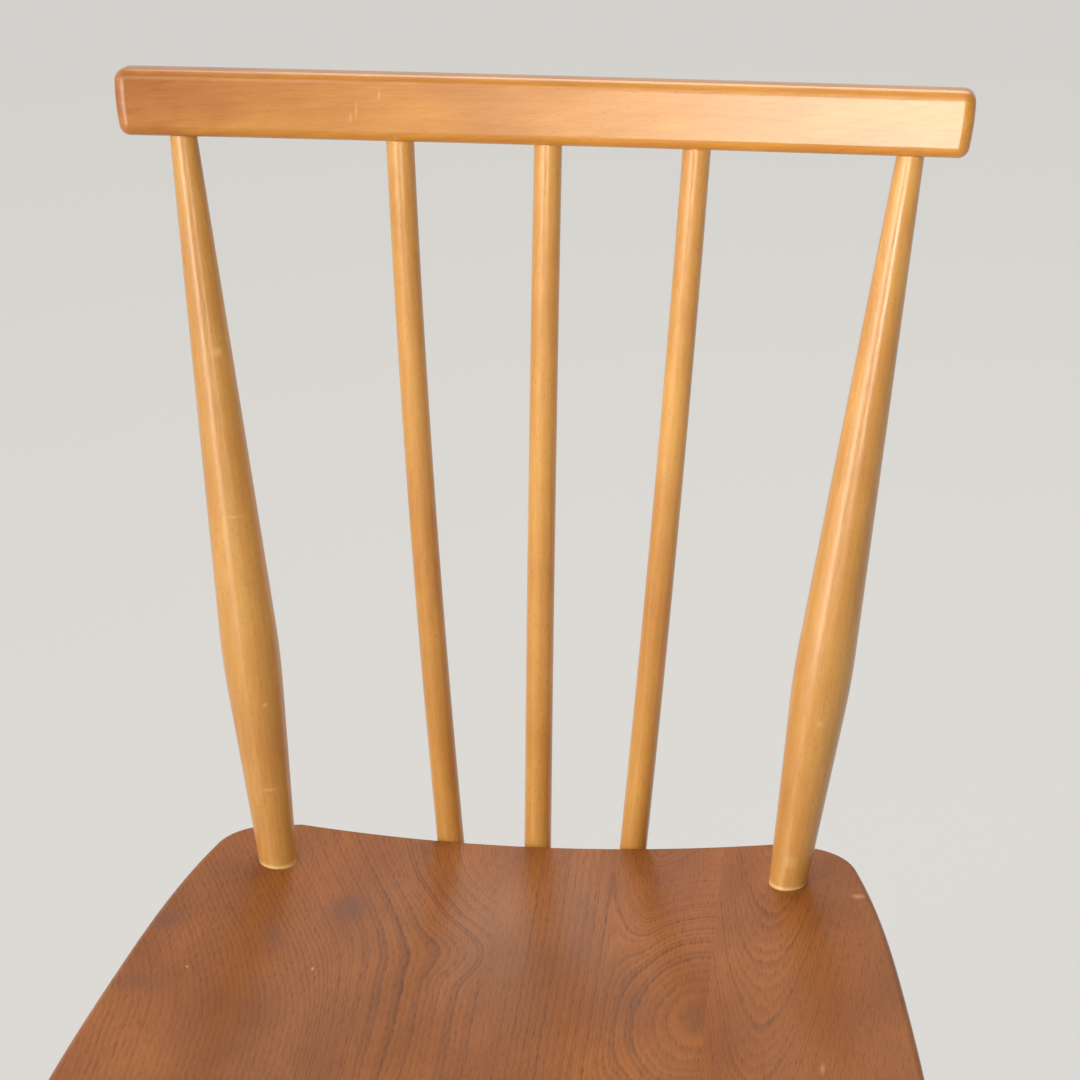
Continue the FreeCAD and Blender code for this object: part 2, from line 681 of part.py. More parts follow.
GRID_ACROSS = 25
GRID_ALONG = 27
reach_x = size("half_width_front") + OUTSIDE
reach_back = size("seat_back") + OUTSIDE
reach_front = size("seat_front") + OUTSIDE
grid = []
for i in range(GRID_ACROSS):
    across = -reach_x + 2 * reach_x * i / (GRID_ACROSS - 1)
    line = []
    for j in range(GRID_ALONG):
        back = -reach_front + (reach_front + reach_back) * j / (GRID_ALONG - 1)
        line.append(Vector(across, back, -hollow(across, back)))
    grid.append(line)
surface = Part.BSplineSurface()
surface.interpolate(grid)
top_tool = doc.addObject("Part::Feature", "seat_top_tool")
top_tool.Shape = surface.toShape().extrude(Vector(0, 0, 2 * size("hollow_depth") + OUTSIDE))
hollowed = cut("seat_hollowed", corners_cut, [top_tool])


def top_edges(shape):
    """The edges round the top surface: high on the board, and not upright."""
    lowest = -2 * size("hollow_depth")
    return edges_where(shape, lambda edge: edge.BoundBox.ZMin > lowest)


soft_top = rounded("seat_soft", hollowed, evenly(top_edges(hollowed.Shape), size("seat_arris")))

ridge = Part.Arc(Vector(-size("deck_half_width"), size("deck_end"), 0),
                 Vector(0, size("deck_start"), 0),
                 Vector(size("deck_half_width"), size("deck_end"), 0)).toShape()
far = size("seat_back") + SIDE
ridge_wire = Part.makePolygon([
    ridge.Vertexes[-1].Point,
    Vector(SIDE, size("deck_end") + SIDE, 0),
    Vector(SIDE, far, 0),
    Vector(-SIDE, far, 0),
    Vector(-SIDE, size("deck_end") + SIDE, 0),
    ridge.Vertexes[0].Point])
slope = Vector(0, 1, -size("deck_fall"))
deck_face = Part.Face(Part.Wire([ridge] + ridge_wire.Edges))
deck_face.translate(slope * -OUTSIDE)
deck_tool = doc.addObject("Part::Feature", "seat_deck_tool")
deck_tool.Shape = deck_face.extrude(slope * (2 * OUTSIDE + size("seat_back")))
decked = cut("seat_decked", soft_top, [deck_tool])


def beside_deck(edge):
    """Whether an edge is one of the deck's two long ones: the ridge, and the arris at the back."""
    above = edge.BoundBox.ZMin > CLOSE - size("seat_thickness")
    behind = edge.CenterOfMass.y > size("deck_start")
    return above and behind and edge.BoundBox.XLength > size("post_spacing") / 2


deck_edges = edges_where(decked.Shape, beside_deck)
soft_deck = rounded("seat_deck", decked, evenly(deck_edges, size("ridge_soften")))

bottom = CLOSE - size("seat_thickness")
bottom_edges = edges_where(soft_deck.Shape, lambda edge: edge.BoundBox.ZMax < bottom)
bevel = [(index, size("bevel_rise"), size("bevel_width")) for index in bottom_edges]
seat = rounded("seat_bevelled", soft_deck, bevel, "Part::Chamfer")
seat.Placement = seat_frame

seat_tools = [tools[0] for tools in spindle_tools.values()]
for word, side in LEFT_RIGHT:
    foot, top = post_axis(side)
    way = (top - foot).normalize()
    seat_tools.append(drill("seat_post_hole_" + word, "Sizes.post_foot_diameter / 2",
                            foot - way * (through + OUTSIDE), foot + way * OUTSIDE))
for word, hand in legs:
    foot, head = leg_axis(word, dict(LEFT_RIGHT)[hand])
    way = (head - foot).normalize()
    seat_tools.append(drill("seat_leg_hole_%s_%s" % (word, hand), "Sizes.leg_top_diameter / 2",
                            head + way * (size("leg_tenon") + size("glue_gap")), head - way * OUTSIDE))
drilled = cut("seat_drilled", seat, seat_tools)
boards = (("left", -SIDE, size("glue_line_left")),
          ("centre", size("glue_line_left"), size("glue_line_right")),
          ("right", size("glue_line_right"), SIDE))
for word, low, high in boards:
    stretch = slab("seat_stretch_" + word, seat_frame, Vector(low, -SIDE, -SIDE), Vector(high, SIDE, SIDE))
    keep("seat_board_" + word, common("seat_part_" + word, drilled, stretch))


# Checks, then one STEP file for each piece

doc.recompute()
for item in doc.Objects:
    if "Invalid" in item.State or "Error" in item.State:
        raise RuntimeError("%s failed: %s" % (item.Name, item.State))
for node, piece in pieces.items():
    if piece.Shape.isNull() or not piece.Shape.isValid() or len(piece.Shape.Solids) != 1:
        raise RuntimeError("%s isn't one valid solid" % node)

os.makedirs("parts", exist_ok=True)
box = FreeCAD.BoundBox()
for node, piece in sorted(pieces.items()):
    piece.Shape.exportStep("parts/%s.step" % node)
    box.add(piece.Shape.optimalBoundingBox(False))
    print("%-22s %9.0f mm3" % (node, piece.Shape.Volume))
print("pieces", len(pieces))
for axis, low, high in (("X", box.XMin, box.XMax), ("Y", box.YMin, box.YMax), ("Z", box.ZMin, box.ZMax)):
    print("box %s %.2f to %.2f" % (axis, low, high))
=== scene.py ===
# %% [markdown]
# # A stick-back chair in lacquered beech and elm
# The chair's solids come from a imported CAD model, which is loaded first and never changed. This
# lesson gives every piece its wood and its lacquer, and sets up the floor, the lamps and the camera.

# %% Load the chair
import math

import bpy
import numpy as np
from mathutils import Matrix, Vector

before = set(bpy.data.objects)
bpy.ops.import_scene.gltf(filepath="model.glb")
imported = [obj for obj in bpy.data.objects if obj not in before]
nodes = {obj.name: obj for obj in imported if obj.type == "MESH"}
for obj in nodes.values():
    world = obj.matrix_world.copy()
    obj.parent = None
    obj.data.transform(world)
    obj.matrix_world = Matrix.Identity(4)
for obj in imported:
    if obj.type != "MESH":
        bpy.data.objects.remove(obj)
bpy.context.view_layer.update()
print("pieces:", len(nodes))

# %% [markdown]
# Colours are picked as the hex values that a paint program shows, while shaders add and multiply
# light, so each value is turned to linear light once, here. Lengths in the patterns are written in
# millimetres, because wood is: its pores are tenths of a millimetre wide and its rings two or three.

# %% Colours and lengths
MM = 0.001


def linear(hex_colour):
    """A colour as light: each sRGB channel c becomes ((c + 0.055) / 1.055) to the power 2.4."""
    srgb = np.array([int(hex_colour[i:i + 2], 16) / 255 for i in (1, 3, 5)])
    light = np.where(srgb <= 0.04045, srgb / 12.92, ((srgb + 0.055) / 1.055) ** 2.4)
    return (*light.tolist(), 1.0)


print("mid grey #808080 as light:", round(linear("#808080")[0], 3))

# %% [markdown]
# A material is a graph of nodes. One helper adds any node with its settings and its inputs, so that
# a formula reads as a few nested lines. An input is either a plain value or another node's output.

# %% One helper for every node
MATH = "ShaderNodeMath"
VECTOR = "ShaderNodeVectorMath"
NOISE = "ShaderNodeTexNoise"
RANGE = "ShaderNodeMapRange"
MIX = "ShaderNodeMix"
SMOOTH = {"interpolation_type": "SMOOTHSTEP"}
MIX_COLOUR = {"data_type": "RGBA", "out": 2}    # the mixed colour is a Mix node's third output


def add(tree, kind, inputs, out=0, **settings):
    """Adds a node and gives back one of its outputs. Inputs go by name, or by number."""
    node = tree.nodes.new(kind)
    for name, value in settings.items():
        setattr(node, name, value)
    for key, value in (inputs.items() if isinstance(inputs, dict) else enumerate(inputs)):
        if isinstance(value, bpy.types.NodeSocket):
            tree.links.new(value, node.inputs[key])
        else:
            node.inputs[key].default_value = value
    return node.outputs[out] if node.outputs else node


def new_material(name):
    """An empty material, its node tree, and the piece's own coordinates in metres."""
    material = bpy.data.materials.new(name)
    material.use_nodes = True
    tree = material.node_tree
    tree.nodes.clear()
    return material, tree, add(tree, "ShaderNodeTexCoord", {}, out="Object")


# %% [markdown]
# Wood is uneven, and its patches are long along the grain and short across it. One formula gives
# all of them, from a fibre to a cloud of darker wood: a noise read at the place divided by the
# patch's size. Marks such as knots, smudges, dents and scuffs have a place on the real chair. One
# formula draws them all too: the distance from the mark's centre, in units of its reach, turned
# into a soft spot.

# %% Patches and marks
def patches(tree, where, size, seed, detail=2.0, out=0):
    """Soft random patches from 0 to 1, with a size along each axis. Where and size are in mm."""
    scaled = add(tree, VECTOR, (where, tuple(1 / length for length in size)), operation="MULTIPLY")
    return add(tree, NOISE, {"Vector": scaled, "W": seed, "Scale": 1.0, "Detail": detail}, out=out,
               noise_dimensions="4D")


def spot(tree, here, centre, reach, turn=0.0):
    """1 at the centre, 0 from one reach away on. Centre and reach in mm, turn in degrees about Z."""
    own = add(tree, "ShaderNodeMapping", {
        "Vector": here, "Location": Vector(centre) * MM, "Rotation": (0, 0, math.radians(turn)),
        "Scale": Vector(reach) * MM}, vector_type="TEXTURE")
    away = add(tree, VECTOR, (own,), out=1, operation="LENGTH")
    return add(tree, RANGE, {"Value": away, "To Min": 1.0, "To Max": 0.0}, **SMOOTH)


def spots(tree, here, marks):
    """The strongest of several marks at each place. A mark is a centre, a reach, a turn, a strength."""
    total = 0.0
    for centre, reach, turn, strength in marks:
        mark = add(tree, MATH, (spot(tree, here, centre, reach, turn), strength), operation="MULTIPLY")
        total = add(tree, MATH, (total, mark), operation="MAXIMUM")
    return total


# %% [markdown]
# The chair is finished with a clear sprayed lacquer. It is a film over the wood with a gloss of its
# own, so the shader gets a coat, and the wood under it hardly shines. To the eye that gives clear
# highlights with colour deep below them. Sprayed lacquer is never quite flat, and it sinks a little
# along the grain, so wood and film share a very low bump, which makes the highlights' edges live.

# %% Lacquer over wood
LACQUER_IOR = 1.5
ORANGE_PEEL = 7.0           # mm from one soft hump of the sprayed film to the next
SINK = 0.03                 # mm, how far the film sinks into a pore
HUMP = 0.8                  # a hump's height as a share of that
WOOD_GLOSS = 0.15           # the wood's own shine under the film, where 0.5 is bare wood
WOOD_ROUGH = 0.4


def lacquer(material, tree, here, colour, relief, film, film_rough):
    """Ends a material: coloured wood with a clear film over it. Relief is in units of SINK."""
    humps = add(tree, NOISE, {"Vector": here, "Scale": 1 / (ORANGE_PEEL * MM), "Detail": 1.0})
    height = add(tree, MATH, (humps, HUMP, relief), operation="MULTIPLY_ADD")
    normal = add(tree, "ShaderNodeBump", {"Height": height, "Distance": SINK * MM, "Strength": 1.0})
    shader = add(tree, "ShaderNodeBsdfPrincipled", {
        "Base Color": colour, "Roughness": WOOD_ROUGH, "Specular IOR Level": WOOD_GLOSS, "Normal": normal,
        "Coat Weight": film, "Coat Roughness": film_rough, "Coat IOR": LACQUER_IOR, "Coat Normal": normal})
    add(tree, "ShaderNodeOutputMaterial", {"Surface": shader})
    return material


# %% [markdown]
# Beech rings run along a stick, so each stick needs to know which way its own grain goes. Its mesh
# tells that: a stick is long one way only, and that way is the first principal axis of its points.

# %% Which way a stick's grain runs
def grain_axis(node):
    """A stick's middle, and its longest direction: the first principal axis of its vertices.

    Its sign is chosen so that it points up, or else to the right or to the back."""
    mesh = nodes[node].data
    points = np.empty(len(mesh.vertices) * 3, np.float32)
    mesh.vertices.foreach_get("co", points)
    points = points.reshape(-1, 3).astype(float)
    middle = (points.min(0) + points.max(0)) / 2
    way = np.linalg.svd(points - points.mean(0), full_matrices=False)[2][0]
    return Vector(middle), Vector(way * np.sign(way[2] + 0.5 * way[0] + 0.1 * way[1]))


print("the crest rail's grain runs along", [round(part, 2) for part in grain_axis("crest_rail")[1]])

# %% [markdown]
# Beech is pale and even. What shows on a turned stick is the long run of its rings, which come out
# as soft streaks along the stick, and thousands of short flecks, where the rays are cut across.
# Rings are drawn as they grow: as distance from the tree's heart, which lies outside the stick.
# Faint light streaks cross them at a slant, because no stick's grain runs quite straight.

# %% The beech
RING = 2.6                  # mm from one year to the next
PITH = 38.0                 # mm from the stick's own axis to the tree's heart
SWAY, SWAY_SIZE = 16.0, (40, 40, 260)   # mm, how far the rings wander, and over what lengths
LEAN = 0.012                # how far the rings lean away from the stick's own axis
FIBRE_SIZE, CLOUD_SIZE, BLOTCH_SIZE = (0.8, 0.8, 14), (30, 30, 70), (12, 12, 20)    # mm
RIPPLE_SIZE, RIPPLE_SLANT = (3.0, 3.0, 80.0), 14.0      # mm and degrees
FIBRE_SHARE, RING_SHARE, RIPPLE_SHARE, BLOTCH_SHARE = 0.35, 0.08, -0.30, 1.7    # of a stick's tones
FLECK_WIDE, FLECK_LONG = 0.7, 3.4       # mm, drawn at about twice their width, so that they show
FLECK_DARK = 0.42           # a fleck's share of its own brown
BEECH_FILM, BEECH_ROUGH = 1.0, 0.30     # a full film with a satin shine


def beech_tone(tree, here, own, seed, browner):
    """0 for the palest wood, 1 for the deepest, and the fibres, which the bump needs too.

    Ring number = distance from the heart / ring width. A ring darkens slowly and ends sharply."""
    sway = patches(tree, own, SWAY_SIZE, seed, out=1)
    angle = 2.4 * seed      # radians, so that no two sticks have their hearts on the same side
    heart = (PITH * math.cos(angle), PITH * math.sin(angle), 0.0)
    across = add(tree, VECTOR, (own, (1.0, 1.0, LEAN)), operation="MULTIPLY")
    swayed = add(tree, VECTOR, (sway, (SWAY, SWAY, SWAY), across), operation="MULTIPLY_ADD")
    distance = add(tree, VECTOR, (swayed, heart), out=1, operation="DISTANCE")
    year = add(tree, MATH, (distance, RING), operation="DIVIDE")
    late = add(tree, MATH, (add(tree, MATH, (year,), operation="FRACT"), 2.0), operation="POWER")
    fibre = patches(tree, own, FIBRE_SIZE, seed + 11, detail=3.0)
    tone = add(tree, MATH, (fibre, FIBRE_SHARE, patches(tree, own, CLOUD_SIZE, seed + 7)),
               operation="MULTIPLY_ADD")
    ringed = add(tree, MATH, (late, RING_SHARE, tone), operation="MULTIPLY_ADD")
    slanted = add(tree, "ShaderNodeMapping", {"Vector": own, "Rotation": (math.radians(RIPPLE_SLANT), 0, 0)})
    ripple = patches(tree, slanted, RIPPLE_SIZE, seed + 23)
    rippled = add(tree, MATH, (ripple, RIPPLE_SHARE, ringed), operation="MULTIPLY_ADD")
    share = add(tree, RANGE, {"Value": rippled, "From Min": 0.25, "From Max": 0.85})
    # A browner end in blotches: on the crest rail's left end, partly smudges in the wood, partly painted
    # shade.
    if browner is not None:
        blotch = add(tree, MATH, (spot(tree, here, *browner), patches(tree, own, BLOTCH_SIZE, seed + 17)),
                     operation="MULTIPLY")
        share = add(tree, MATH, (blotch, BLOTCH_SHARE, share), operation="MULTIPLY_ADD")
    return share, fibre


def beech(name, middle, way, seed, pale="#E0A857", deep="#C0823C", marks=(), browner=None):
    """Clear beech under amber lacquer: tones between pale and deep, dark flecks, pale marks."""
    material, tree, here = new_material(name)
    turn = way.to_track_quat("Z", "Y").to_euler()
    own = add(tree, "ShaderNodeMapping", {"Vector": here, "Location": middle, "Rotation": turn,
                                          "Scale": (MM, MM, MM)}, vector_type="TEXTURE")
    share, fibre = beech_tone(tree, here, own, seed, browner)
    wood = add(tree, MIX, {0: share, 6: linear(pale), 7: linear(deep)}, clamp_factor=False, **MIX_COLOUR)

    cells = add(tree, VECTOR, (own, (1 / FLECK_WIDE, 1 / FLECK_WIDE, 1 / FLECK_LONG)), operation="MULTIPLY")
    away = add(tree, "ShaderNodeTexVoronoi", {"Vector": cells, "W": seed, "Scale": 1.0},
               voronoi_dimensions="4D")
    fleck = add(tree, RANGE, {"Value": away, "From Min": 0.15, "From Max": 0.36,
                              "To Min": FLECK_DARK, "To Max": 0.0}, **SMOOTH)
    flecked = add(tree, MIX, {0: fleck, 6: wood, 7: linear("#93602A")}, **MIX_COLOUR)

    # Pale marks: dents, scuffs and scratches, and at a post's foot a painted highlight, the rim of light on
    # the lacquer fillet.
    colour = add(tree, MIX, {0: spots(tree, here, marks), 6: flecked, 7: linear("#F3CB8C")}, **MIX_COLOUR)
    relief = add(tree, MATH, (fibre, fleck), operation="SUBTRACT")
    return lacquer(material, tree, here, colour, relief, BEECH_FILM, BEECH_ROUGH)


# %% [markdown]
# Every stick is cut from its own piece of wood, so each gets a seed of its own. The pins and wedges
# show their end grain, which drinks more lacquer and comes out darker. The posts have a few dents
# and rubbed places, and a painted highlight: a pale rim where they enter the seat, which stands in
# for the light on the lacquer fillet there, with a little wear. The crest rail has thin upright
# scratches, and its left end is painted browner in blotches: partly brown smudges in the wood,
# partly painted shade, which darkens that end.

# %% Dress the sticks
# Dents, scuffs and scratches; each post's last entry is a painted highlight, the pale rim at its foot.
STICK_WEAR_AND_RIM_HIGHLIGHTS = {
    "back_post_left": [((-146.8, 167.1, 657.3), (3.2, 6.0, 3.0), 0, 0.55),
                       ((-138.2, 145.5, 584.6), (7.0, 7.0, 0.9), 0, 0.35),
                       ((-124.0, 123.7, 499.1), (2.2, 5.0, 1.8), 0, 0.6),
                       ((-121.6, 114.7, 459.3), (6.0, 5.0, 1.2), 0, 0.4),
                       # painted highlight: the pale rim where the left post enters the seat
                       ((-119.0, 107.0, 422.2), (60.0, 60.0, 1.5), 0, 0.8)],
    "back_post_right": [((132.0, 123.0, 500.9), (2.6, 6.0, 3.2), 0, 0.45),
                        ((120.2, 109.6, 435.3), (4.5, 6.0, 5.0), 0, 0.35),
                        # painted highlight: the pale rim where the right post enters the seat
                        ((120.5, 107.0, 422.2), (60.0, 60.0, 1.5), 0, 0.8)],
    "crest_rail": [((-84.4, 195.0, 765.4), (0.8, 8.0, 5.0), 0, 0.35),
                   ((-86.9, 194.2, 762.0), (0.8, 8.0, 3.4), 0, 0.3),
                   ((-74.2, 197.0, 772.6), (0.9, 8.0, 4.0), 0, 0.3)]}
# The crest rail's browner left end: brown smudges in the wood, and painted shade that darkens that end.
SMUDGED_AND_SHADED_END = ((-205.0, 214.0, 765.0), (150.0, 80.0, 80.0))     # mm, the browner end's centre and reach
sticks = sorted(name for name in nodes if not name.startswith("seat_board"))
for seed, name in enumerate(sticks):
    look = {"marks": STICK_WEAR_AND_RIM_HIGHLIGHTS.get(name, ())}
    if name.startswith(("crest_pin", "post_wedge")):
        look.update(pale="#C08A4A", deep="#9C6634")
    if name == "crest_rail":
        look.update(pale="#D8983E", deep="#B87328", browner=SMUDGED_AND_SHADED_END)
    dress = beech("lacquered_beech_" + name, *grain_axis(name), seed + 1.0, **look)
    nodes[name].data.materials.clear()
    nodes[name].data.materials.append(dress)
print("beech pieces:", len(sticks))

# %% [markdown]
# The seat is elm, three boards side by side. Elm's rings run wild, and every spring leaves a band
# of open pores that shows as a dark line. The boards are cut nearly along the rings, so a ring shows
# as a contour line of a hill. Each board therefore gets a height field whose whole numbers are the
# lines: straight runs are a slope, tongues and ovals are hills. The slopes, hills and bends stand
# where the figure of the real boards has them, in millimetres.

# %% The ring number of each board
SEAT_TOP = 418.0            # mm above the floor, about the middle of the hollowed top
THROUGH = 60.0              # mm, how far a mark reaches through the board


def hill(tree, here, x, y, reach_x, reach_y):
    """A soft hill over a place of the seat, in mm. It reaches so deep that its sides are upright."""
    return spot(tree, here, (x, y, SEAT_TOP), (reach_x, reach_y, 10 * THROUGH))


def square_from(tree, value, centre, unit):
    """((value - centre) / unit) squared."""
    step = add(tree, MATH, (value, centre), operation="SUBTRACT")
    scaled = add(tree, MATH, (step, unit), operation="DIVIDE")
    return add(tree, MATH, (scaled, scaled), operation="MULTIPLY")


def left_years(tree, here, x, y):
    """Lines that lean left towards the back, wind round a nose, and drift right at the far edge."""
    fan = add(tree, RANGE, {"Value": y, "From Min": 30.0, "From Max": 180.0, "To Max": -42.0}, **SMOOTH)
    eddy = add(tree, MATH, (hill(tree, here, -10, 130, 58, 66), -24.0, fan), operation="MULTIPLY_ADD")
    nose = add(tree, MATH, (hill(tree, here, -22, 52, 34, 36), 11.0, eddy), operation="MULTIPLY_ADD")
    drift = add(tree, RANGE, {"Value": y, "From Min": -30.0, "From Max": 78.0,
                              "To Min": 20.0, "To Max": 0.0}, **SMOOTH)
    outer = add(tree, RANGE, {"Value": x, "From Min": -90.0, "From Max": -62.0,
                              "To Min": 1.0, "To Max": 0.0}, **SMOOTH)
    push = add(tree, MATH, (drift, outer, nose), operation="MULTIPLY_ADD")
    year_width = 8.6        # mm
    return add(tree, MATH, (add(tree, MATH, (push, x), operation="SUBTRACT"), year_width),
               operation="DIVIDE")


def centre_years(tree, here, x, y):
    """An oval round a knot at the board's right edge, which straightens towards the left."""
    across = square_from(tree, x, 84.0, 21.5)
    along = square_from(tree, y, -6.5, 41.0)
    nearby = add(tree, RANGE, {"Value": x, "From Min": 36.0, "From Max": 60.0}, **SMOOTH)
    oval = add(tree, MATH, (along, nearby, across), operation="MULTIPLY_ADD")
    return add(tree, MATH, (hill(tree, here, 58, 137, 26, 30), 2.4, oval), operation="MULTIPLY_ADD")


def right_years(tree, here, x, y):
    """A tongue that opens towards the back: ((x - 113) / 16) squared - y / 49 + 0.43."""
    across = square_from(tree, x, 113.0, 16.0)
    along = add(tree, MATH, (y, -1 / 49, 0.43), operation="MULTIPLY_ADD")
    return add(tree, MATH, (across, along), operation="ADD")


# %% [markdown]
# A year starts with a dark band of open pores, which ends sharply on the old side and fades on the
# young one, and no two years are equally dark. Between the bold lines run lesser ones, and short
# dashes lie all over the board, where single pores are cut along. So the eye gets three sizes of
# detail. The lacquer is thinner than on the beech, because sitting wears it, and the same rubbing
# has made it glossier.

# %% The elm
PORE_SIZE = (0.6, 7.0, 0.6)             # mm, drawn at about twice their width, so that they show
WANDER, WANDER_SIZE = 0.6, (30, 70, 30)     # years, how far the lines wander, and mm, over what lengths
RAGGED = 0.16                           # years, how far the pores fray a line
TONE_SIZE = (35, 80, 35)                # mm
FADE = 4                                # a bold band has faded at so many times its own width
FINE_START, FINE_END = 0.30, 0.95       # a lesser band's rise and end, as shares of its step
BOLD_HERE, BOLD_ANYWHERE = 0.7, 0.15    # a bold band's strength where it is marked, and elsewhere
FINE_DARK = 0.55                        # a lesser band's strength
RING_DARK, PORE_DARK = 0.80, 0.42       # how dark bands and pores are in the wood
PORE_IN_RING = 0.40                     # what a pore gains inside a band
ELM_FILM, ELM_ROUGH = 0.44, 0.16        # a worn film with a gloss


def bands(tree, field, sharp, soft, seed):
    """Dark bands on a field's whole numbers: they rise until sharp and have faded at soft.

    Each has its own strength, from 0.25 to 0.8, by a white noise of its number."""
    part = add(tree, MATH, (field,), operation="FRACT")
    rise = add(tree, RANGE, {"Value": part, "From Max": sharp}, **SMOOTH)
    fade = add(tree, RANGE, {"Value": part, "From Min": sharp, "From Max": soft,
                             "To Min": 1.0, "To Max": 0.0})
    year = add(tree, MATH, (add(tree, MATH, (field,), operation="FLOOR"), seed), operation="ADD")
    luck = add(tree, "ShaderNodeTexWhiteNoise", {"W": year}, noise_dimensions="1D")
    strength = add(tree, MATH, (luck, 0.55, 0.25), operation="MULTIPLY_ADD")
    band = add(tree, MATH, (rise, fade), operation="MULTIPLY")
    return add(tree, MATH, (band, strength), operation="MULTIPLY")


def elm_dark(tree, here, years, width, lesser, seed, bold):
    """How dark the figure is at each place: bold bands, lesser ones between them, and pores."""
    place = add(tree, VECTOR, (here, (1 / MM, 1 / MM, 1 / MM)), operation="MULTIPLY")
    axes = add(tree, "ShaderNodeSeparateXYZ", {"Vector": place}).node.outputs
    grain = patches(tree, place, PORE_SIZE, seed + 1)
    field = add(tree, MATH, (patches(tree, place, WANDER_SIZE, seed + 2, detail=3.0), WANDER,
                             years(tree, here, axes["X"], axes["Y"])), operation="MULTIPLY_ADD")
    frayed = add(tree, MATH, (grain, RAGGED, field), operation="MULTIPLY_ADD")
    strong = bands(tree, frayed, width, FADE * width, seed)
    often = add(tree, MATH, (frayed, lesser), operation="MULTIPLY")
    fine = add(tree, MATH, (bands(tree, often, FINE_START, FINE_END, seed + 40), FINE_DARK),
               operation="MULTIPLY")
    clear = add(tree, MATH, (spots(tree, here, bold), BOLD_HERE, BOLD_ANYWHERE), operation="MULTIPLY_ADD")
    ring = add(tree, MATH, (strong, clear, fine), operation="MULTIPLY_ADD")
    dash = add(tree, RANGE, {"Value": grain, "From Min": 0.46, "From Max": 0.72})
    deeper = add(tree, MATH, (ring, PORE_IN_RING, PORE_DARK), operation="MULTIPLY_ADD")
    open_pores = add(tree, MATH, (dash, deeper), operation="MULTIPLY")
    dark = add(tree, MATH, (ring, RING_DARK, open_pores), operation="MULTIPLY_ADD")
    return dark, patches(tree, place, TONE_SIZE, seed + 5)


def elm(name, years, width, lesser, seed, marks, pale="#AB652A", deep="#8D4E1B"):
    """Elm under lacquer: tones between pale and deep, the figure over them, then stains and scuffs.

    Width is a bold band's share of a year, and lesser how many lesser ones a year holds."""
    material, tree, here = new_material(name)
    dark, tone = elm_dark(tree, here, years, width, lesser, seed, marks["bold"])
    share = add(tree, RANGE, {"Value": tone, "From Min": 0.30, "From Max": 0.70})
    wood = add(tree, MIX, {0: share, 6: linear(pale), 7: linear(deep)}, **MIX_COLOUR)
    colour = add(tree, MIX, {0: dark, 6: wood, 7: linear("#683A17")}, **MIX_COLOUR)
    for kind, tint in (("dark", "#6E4636"), ("light", "#D9A878")):
        where = spots(tree, here, marks[kind])
        colour = add(tree, MIX, {0: where, 6: colour, 7: linear(tint)}, **MIX_COLOUR)
    relief = add(tree, MATH, (1.0, dark), operation="SUBTRACT")
    return lacquer(material, tree, here, colour, relief, ELM_FILM, ELM_ROUGH)


# %% [markdown]
# Now the boards. Each has its own marks: where its lines are bold, knots and dark smudges, and small
# pale scuffs, every one with a place on the seat, how far it reaches in X and Y, and a strength.

# %% Dress the boards
def on_top(x, y, reach_x, reach_y, strength, turn=0.0):
    """A mark in the seat's top. Place and reach in mm, turn in degrees."""
    return (x, y, SEAT_TOP), (reach_x, reach_y, THROUGH), turn, strength


MARKS = {
    "left": {"bold": [on_top(-40, 45, 55, 160, 1.0)],
             "dark": [on_top(-80, 79, 15, 20, 0.62), on_top(-112, 48, 8, 22, 0.45, 15.0),
                      on_top(-162, 54, 16, 14, 0.5, 20.0), on_top(-166, -3, 16, 12, 0.45)],
             "light": [on_top(-90, 22, 0.8, 2.4, 0.9), on_top(-145, 12, 1.0, 1.6, 0.8)]},
    "centre": {"bold": [on_top(72, 10, 58, 115, 1.0), on_top(56, 138, 26, 30, 1.0),
                        on_top(15, 20, 45, 240, 0.9)],
               "dark": [on_top(84, -7, 6, 17, 0.5, 8.0), on_top(54, 7, 8, 24, 0.32)],
               "light": []},
    "right": {"bold": [on_top(114, 75, 36, 95, 0.5)],
              "dark": [on_top(110, -13, 3, 5, 0.5), on_top(97, -14, 3, 4, 0.35),
                       on_top(154, 58, 1.6, 3, 0.8), on_top(174, 9, 2.4, 2.4, 0.7),
                       on_top(181, -20, 2, 2.4, 0.7)],
              "light": [on_top(152, 103, 5, 3.4, 0.5), on_top(141, -51, 1.6, 7, 0.45)]}}
RINGS = {"left": (left_years, 0.16, 3.0),       # ring number, a bold band's width, lesser bands a year
         "centre": (centre_years, 0.15, 3.0),
         "right": (right_years, 0.08, 4.0)}
for seed, (word, rings) in enumerate(RINGS.items()):
    board = nodes["seat_board_" + word].data
    board.materials.clear()
    board.materials.append(elm("lacquered_elm_" + word, *rings, seed * 3.0, MARKS[word]))
print("elm boards:", len(RINGS))

# %% [markdown]
# The floor is a plain pale sheet, large enough to fill the picture from every side. Paint alone
# would throw much light up under the chair, so it is a mid grey for the lamps, and only the camera
# and the reflections see it paler. The chair's own shadow stays, because part of the grey remains.
# Seen from underneath the sheet is clear, so that a look from below shows the chair.

